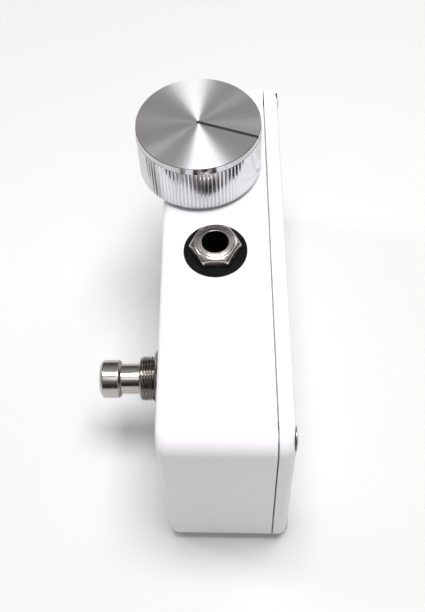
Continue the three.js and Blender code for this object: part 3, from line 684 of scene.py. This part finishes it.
# ---------------------------------------------------------------- knob
def flute(angle):
    """Radius of the fluted skirt: round ridges with narrow grooves between them."""
    groove = 0.5 + 0.5 * math.cos(angle * FLUTES)
    return KNOB_RADIUS - FLUTE_DEPTH * groove ** 1.6


def knob():
    count = FLUTES * SAMPLES_PER_FLUTE
    face_radius = KNOB_RIM - KNOB_CHAMFER
    shoulder = KNOB_TOP - KNOB_BAND
    recess, recess_top = KNOB_RECESS
    bore, bore_top = KNOB_BORE
    crown = KNOB_TOP + 0.01
    profile = [
        (bore, bore_top), (bore, recess_top), (recess, recess_top),
        (recess, KNOB_BASE + 0.3), (recess + 0.3, KNOB_BASE),
        (KNOB_RADIUS - FLUTE_DEPTH - KNOB_FOOT, KNOB_BASE),
        (lambda a: flute(a) - 0.1, KNOB_BASE + KNOB_FOOT),
        (flute, KNOB_BASE + KNOB_FOOT + 0.15),
        (flute, shoulder - 0.1),
        (lambda a: min(flute(a), KNOB_RADIUS - 0.05), shoulder),
        (KNOB_RIM - 0.06, shoulder + 0.02), (KNOB_RIM, shoulder + 0.1),
        (KNOB_RIM, KNOB_TOP - KNOB_CHAMFER), (face_radius, KNOB_TOP),
        (face_radius - 0.06, crown), (face_radius * 0.5, crown), (0.4, crown),
    ]
    made = new_object("knob_turned", *turned(profile, count), KNOB_PLACE)
    dressed(made, SKIRT, POLISHED, KNOB_FACE)
    paint_knob(made)
    half = POINTER_WIDTH / 2 + 0.04
    groove = slab(
        (-0.35, KNOB_RADIUS + CUT_BEYOND), (-half, half),
        (KNOB_TOP - POINTER_GROOVE, KNOB_TOP + CUT_BEYOND), POINTER_PLACE,
    )
    sideways = Matrix.Translation((0, 0, SET_SCREW_HEIGHT)) @ Matrix.Rotation(-TAU / 4, 4, "Y")
    socket = rod(SET_SCREW_HOLE, 0, KNOB_RADIUS + 2 * CUT_BEYOND, POINTER_PLACE @ sideways)
    combine(made, "DIFFERENCE", [groove, socket])
    finished(made, "dial", ["knob"], 28)


def off_axis(polygon, axis):
    """How far a face is from an upright axis, in millimetres."""
    return (millimetres(polygon.center) - axis).xy.length


def paint_knob(made):
    """Gives the face, the plain band and the rest of the knob their own materials."""
    skirt, band, face = range(3)
    for polygon in made.data.polygons:
        height = polygon.center.z / MM - CASE_WIDTH
        if polygon.normal.z > 0.95 and height > KNOB_TOP - 0.1:
            polygon.material_index = face
        elif height > KNOB_TOP - KNOB_BAND and off_axis(polygon, KNOB_AXIS) > KNOB_RIM - 0.3:
            polygon.material_index = band
        else:
            polygon.material_index = skirt


def slab(x, y, z, place):
    """A cutting tool in the shape of a box between pairs of limits."""
    corners = ((x[0], y[0]), (x[1], y[0]), (x[1], y[1]), (x[0], y[1]))
    rings = [[(*corner, height) for corner in corners] for height in z]
    return new_object("tool", *loft(rings), place)


def knob_pointer():
    """The painted line: round at the knob's middle, flatter where it runs over the edge."""
    half = POINTER_WIDTH / 2
    sunk = 0.02
    face_radius = KNOB_RIM - KNOB_CHAMFER
    steps = 8
    shape = []
    for centre, stretch, start in ((0.0, 1.0, TAU / 4), (face_radius + 0.1, 0.35, -TAU / 4)):
        for i in range(steps + 1):
            angle = start + TAU / 2 * i / steps
            shape.append((centre + half * math.cos(angle) * stretch, half * math.sin(angle)))
    low = [(x, y, KNOB_TOP - POINTER_GROOVE + sunk) for x, y in shape]
    high = [(x, y, KNOB_TOP - sunk - max(0.0, x - face_radius)) for x, y in shape]
    pointer = new_object("knob_pointer_line", *loft([low, high]), POINTER_PLACE)
    finished(dressed(pointer, POINTER_PAINT), "dial", ["knob_pointer"])


# ---------------------------------------------------------------- jack
def washer(name, inner, outer, top, edge, place):
    """A flat washer with rounded edges; inner and outer are radii."""
    corners = [(inner, SEAT_GAP), (outer, SEAT_GAP), (outer, top), (inner, top)]
    profile = softened(corners, edge, 4, closed=True)
    return new_object(name, *turned(profile, 128, closed=True), place)


def jack_washer():
    made = washer("jack_washer_turned", inner=4.65, outer=7.85, top=0.8, edge=0.18, place=JACK_PLACE)
    finished(dressed(made, WASHER_BLACK), "box", ["jack_washer"])


def jack_nut():
    nut = hex_nut(11, JACK_THREAD + 0.03, low=0.85, high=3.8, flat_top=4.95)
    made = new_object("jack_hex_nut", *nut, JACK_PLACE)
    finished(dressed(made, SATIN_NICKEL), "box", ["jack_nut"])


def jack_bushing():
    seat = -SIDE_WALL - SEAT_GAP
    mouth_end = JACK_MOUTH[1]
    inside = softened([(JACK_BORE, JACK_RIM - 0.2), (JACK_BORE, mouth_end), JACK_MOUTH], 0.1)
    rim = softened([
        (JACK_THREAD, JACK_RIM - 0.5), (JACK_THREAD, JACK_RIM - 0.18), (JACK_BORE + 0.15, JACK_RIM),
        (JACK_BORE, JACK_RIM - 0.2),
    ], 0.04)
    flange = softened([
        JACK_MOUTH, (JACK_FLANGE, mouth_end), (JACK_FLANGE, seat),
        (JACK_THREAD, seat), (JACK_THREAD, seat + 0.3),
    ], 0.15)
    segments = 96
    rings = [circle(r, z, segments) for r, z in flange]
    rings += thread_rings(
        JACK_THREAD, JACK_THREAD_DEPTH, BUSHING_PITCH, seat + 0.4, JACK_RIM - 0.6, segments,
    )
    rings += [circle(r, z, segments) for r, z in rim + inside[1:-1]]
    bushing = new_object("jack_bushing_threaded", *loft(rings, closed=True), JACK_PLACE)
    # The bore's walls take the dark steel look, as painted shade inside the hole.
    dressed(bushing, SATIN_NICKEL, DARK_STEEL_AND_BORE_SHADE)
    for polygon in bushing.data.polygons:
        polygon.material_index = int(off_axis(polygon, JACK_AXIS) < JACK_BORE + 0.1)
    finished(bushing, "box", ["jack_bushing"])


# ---------------------------------------------------------------- footswitch
def switch_bushing():
    foot = SWITCH_BUSHING_FOOT
    top = SWITCH_BUSHING_TOP
    flange_radius, flange_top = SWITCH_FLANGE
    segments = 112
    flange = softened([
        (SWITCH_BORE, foot), (flange_radius, foot), SWITCH_FLANGE,
        (SWITCH_THREAD, flange_top), (SWITCH_THREAD, flange_top + 0.2),
    ], 0.12)
    lip = softened([
        (SWITCH_THREAD - 0.35, top - 0.2), (SWITCH_THREAD - 0.55, top), (SWITCH_BORE + 0.3, top),
        (SWITCH_BORE, top - 0.35), (SWITCH_BORE, top - 1),
    ], 0.12)
    rings = [circle(r, z, segments) for r, z in flange]
    rings += thread_rings(
        SWITCH_THREAD + 0.1, SWITCH_THREAD_DEPTH, BUSHING_PITCH, flange_top + 0.3, top - 0.25,
        segments, rows=8,
    )
    rings += [circle(r, z, segments) for r, z in lip]
    made = new_object("switch_bushing_threaded", *loft(rings, closed=True), SWITCH_PLACE)
    finished(dressed(made, SWITCH_DARK), "box", ["switch_bushing"])


def switch_washer():
    made = washer("switch_washer_turned", inner=6.0, outer=7.9, top=1.0, edge=0.2, place=SWITCH_PLACE)
    finished(dressed(made, SWITCH_DARK), "box", ["switch_outer_washer"])


def switch_nut():
    nut = hex_nut(14, SWITCH_THREAD + 0.13, low=1.05, high=3.0, flat_top=6.7)
    made = new_object("switch_hex_nut", *nut, SWITCH_PLACE)
    finished(dressed(made, SWITCH_DARK), "box", ["switch_outer_nut"])


def switch_plunger():
    low, high = (millimetres(corner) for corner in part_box("switch_plunger"))
    top = CLOSED_FACE - low.x
    bottom = CLOSED_FACE - high.x
    stem = 1.5
    collar, collar_low, collar_top = 4.9, -7.2, -6.0
    neck = 3.95
    cap, cap_bottom = 5.0, 11.95
    edge = 0.75
    profile = softened([
        (0.05, bottom), (stem, bottom), (stem, collar_low), (collar, collar_low), (collar, collar_top),
        (neck, collar_top), (neck, cap_bottom - 0.02), (cap - 0.7, cap_bottom), (cap, cap_bottom + 0.6),
        (cap, top - edge), (cap - edge, top), (0.05, top),
    ], 0.16, 4)
    made = new_object("switch_plunger_turned", *turned(profile, 128), SWITCH_PLACE)
    finished(dressed(made, SWITCH_NICKEL), "button", ["switch_plunger"])


def switch_spring():
    """The return spring, with closed end turns, built at one fixed length."""
    seat = -20.5
    wire = 0.22
    coil = 1.7
    low = seat + wire + SEAT_GAP
    high = -13.37
    turns = 6.5
    end_turns = 0.75
    end_pitch = 0.46
    steps_per_turn = 28
    wire_segments = 10
    open_turns = turns - 2 * end_turns
    pitch = (high - low - 2 * end_turns * end_pitch) / open_turns
    rings = []
    for i in range(round(turns * steps_per_turn) + 1):
        turn = i / steps_per_turn
        opened = min(max(turn - end_turns, 0), open_turns)
        z = low + end_pitch * (turn - opened) + pitch * opened
        angle = TAU * turn
        ring = []
        for k in range(wire_segments):
            around = TAU * k / wire_segments
            radius = coil + wire * math.cos(around)
            ring.append((radius * math.cos(angle), radius * math.sin(angle), z + wire * math.sin(around)))
        rings.append(ring)
    spring = new_object("switch_return_spring", *loft(rings), SWITCH_PLACE)
    finished(dressed(spring, DARK_STEEL_AND_BORE_SHADE), "box", ["switch_spring"], 60)
    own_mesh(spring)


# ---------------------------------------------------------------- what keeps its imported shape
KEPT_LOOKS = {
    "nickel": NICKEL, "dark_steel": DARK_STEEL_AND_BORE_SHADE, "contact_brass": BRASS, "black_plastic": BLACK_NYLON,
    "phenolic": PHENOLIC, "wire_red": WIRE_RED, "wire_white": WIRE_WHITE, "wire_black": WIRE_BLACK,
    "screw_steel": SCREW_STEEL, "washer_black": WASHER_BLACK, "black_paint": POINTER_PAINT,
    "knob_aluminium": SKIRT, "powder_coat": WHITE_COAT,
}


def dress_packed_nodes():
    slots = {row["node"]: row["material_slot"] for row in frame["record"]["subparts"]}
    for name, obj in nodes.items():
        obj.data.materials.clear()
        obj.data.materials.append(KEPT_LOOKS[slots[name]])


# ---------------------------------------------------------------- camera, floor and light
def camera():
    """The photograph's viewpoint, fitted to the box's visible edges."""
    viewpoint = (0.001946, -0.131137, 0.230717)
    elevation, yaw, roll = (math.radians(angle) for angle in (56.7806, -2.4185, -2.9301))
    forward = Vector((
        math.sin(yaw) * math.cos(elevation), math.cos(yaw) * math.cos(elevation), -math.sin(elevation),
    ))
    right = forward.cross(Vector((0, 0, 1))).normalized()
    up = right.cross(forward)
    side = right * math.cos(roll) + up * math.sin(roll)
    top = -right * math.sin(roll) + up * math.cos(roll)
    data = bpy.data.cameras.new("camera")
    data.lens = 50.711
    data.sensor_width = 36
    data.clip_start = 0.01
    obj = bpy.data.objects.new("camera", data)
    turn = Matrix((side, top, -forward)).transposed().to_4x4()
    obj.matrix_world = Matrix.Translation(viewpoint) @ turn
    bpy.context.scene.collection.objects.link(obj)
    bpy.context.scene.camera = obj


def area_light(name, place, size, watts):
    """A soft box aimed at the middle of the enclosure."""
    data = bpy.data.lights.new(name, "AREA")
    data.shape = "RECTANGLE"
    data.size, data.size_y = size
    data.energy = watts
    obj = bpy.data.objects.new(name, data)
    obj.location = place
    aim = Vector((0, 0, 0.03)) - Vector(place)
    obj.rotation_euler = aim.to_track_quat("-Z", "Y").to_euler()
    bpy.context.scene.collection.objects.link(obj)


def floor():
    """A pale sheet that glows with distance, so that its far parts match the backdrop."""
    reach = 3000
    corners = [(reach * a, reach * b, 0) for a, b in SQUARE]
    sheet = new_object("floor", corners, [(0, 1, 2, 3)])
    paper = Look("pale floor")
    mottle = paper.ranged(paper.noise(3), 0, 1)
    paper.colour(paper.blended(mottle, (0.69, 0.69, 0.69), (0.71, 0.71, 0.71)))
    paper.rough(paper.ranged(paper.noise(20), 0.8, 0.95))
    away = paper.node("ShaderNodeVectorMath", operation="LENGTH")
    paper.link(paper.coordinates, away.inputs[0])
    paper.shader.inputs["Emission Color"].default_value = (0.93, 0.925, 0.92, 1)
    glow = paper.ranged(away.outputs["Value"], 0, 0.85, start=0.25, end=0.9)
    paper.link(glow, paper.shader.inputs["Emission Strength"])
    dressed(sheet, paper.material)


def lights():
    area_light("overhead", (0.06, -0.01, 0.8), (0.26, 0.36), 6.1)
    area_light("near panel", (0.06, -0.34, 0.70), (0.42, 0.26), 0.5)
    area_light("far right", (0.5, 0.55, 0.45), (0.3, 0.3), 0.8)
    area_light("upper left", (-0.5, 0.15, 0.62), (0.14, 0.14), 0.8)


def surroundings():
    """A room that is bright overhead and dim towards the horizon, behind a pale backdrop."""
    world = bpy.data.worlds.new("studio")
    world.use_nodes = True
    tree = world.node_tree
    background = tree.nodes["Background"]

    def add(kind, **settings):
        made = tree.nodes.new(kind)
        for key, value in settings.items():
            setattr(made, key, value)
        return made

    def ranged(source, start, end, low, high):
        spread = add("ShaderNodeMapRange", interpolation_type="SMOOTHSTEP")
        tree.links.new(source, spread.inputs["Value"])
        set_range(spread, start, end, low, high)
        return spread.outputs["Result"]

    split = add("ShaderNodeSeparateXYZ")
    tree.links.new(add("ShaderNodeTexCoord").outputs["Generated"], split.inputs["Vector"])
    total = add("ShaderNodeMath", operation="ADD")
    tree.links.new(ranged(split.outputs["Z"], 0.3, 1.0, 0.03, 0.40), total.inputs[0])
    tree.links.new(ranged(split.outputs["Y"], 0.0, 0.9, 0.0, 0.10), total.inputs[1])
    seen = add("ShaderNodeLightPath").outputs["Is Camera Ray"]
    mix = add("ShaderNodeMix", data_type="FLOAT")
    tree.links.new(seen, mix.inputs["Factor"])
    tree.links.new(total.outputs["Value"], mix.inputs[MIX_NUMBER_A])
    mix.inputs[MIX_NUMBER_B].default_value = 0.93
    background.inputs["Color"].default_value = (1.0, 0.985, 0.965, 1)
    tree.links.new(mix.outputs[MIX_NUMBER_OUT], background.inputs["Strength"])
    bpy.context.scene.world = world
    bpy.context.scene.view_settings.view_transform = "Standard"


camera()
dress_packed_nodes()
enclosure_body()
enclosure_lid()
lid_screws()
knob()
knob_pointer()
jack_washer()
jack_nut()
jack_bushing()
switch_bushing()
switch_washer()
switch_nut()
switch_plunger()
switch_spring()
floor()
lights()
surroundings()
